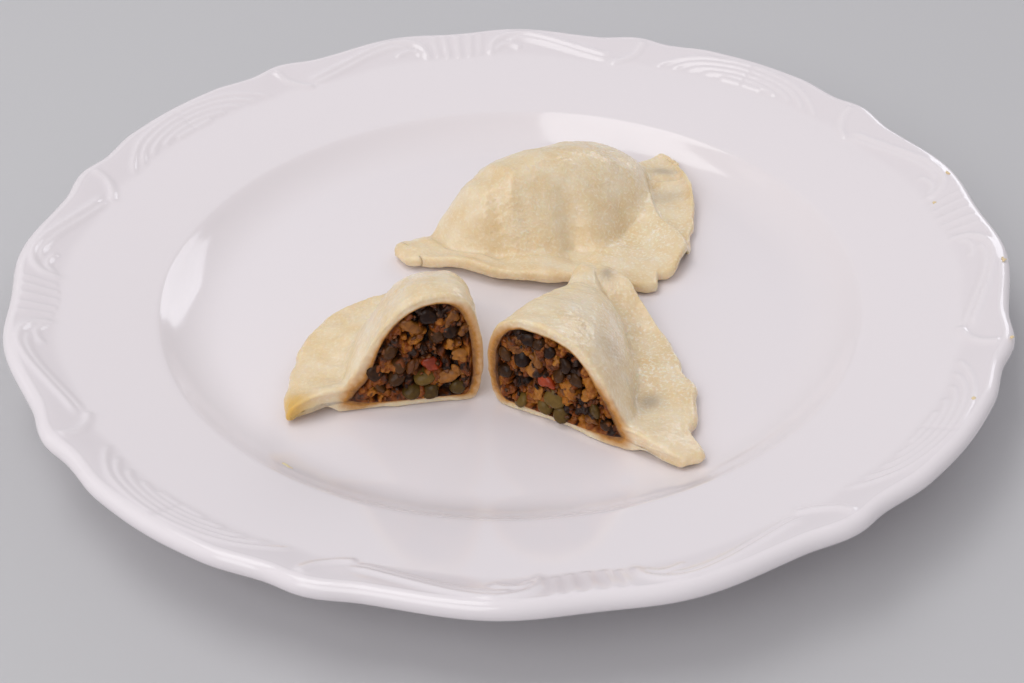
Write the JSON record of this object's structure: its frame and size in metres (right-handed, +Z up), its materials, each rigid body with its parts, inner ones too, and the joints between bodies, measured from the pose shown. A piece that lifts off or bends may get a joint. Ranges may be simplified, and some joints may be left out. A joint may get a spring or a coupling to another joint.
{
  "type": "dumplings on a dinner plate",
  "caption": "Boiled half-moon dumplings with a lentil filling on a scalloped white dinner plate: one whole, one cut across into halves that show the filling.",
  "frame": {"origin": "centre of the plate's foot ring on the table; the plate is centred on it", "axes": "+Z up out of the plate; -Y points towards the diner's side, where the two cut faces look; +X to the diner's right"},
  "size_m": [0.2666, 0.2666, 0.0403],
  "materials": {
    "porcelain": "white glazed porcelain",
    "dough": "moist boiled wheat dough, satin",
    "filling": "moist cooked lentils in a brown mash"
  },
  "bodies": {
    "root": {"plate": "porcelain", "pierog_whole": "dough", "half_left_dough": "dough", "half_left_filling": "filling", "half_right_dough": "dough", "half_right_filling": "filling"}
  },
  "joints": []
}
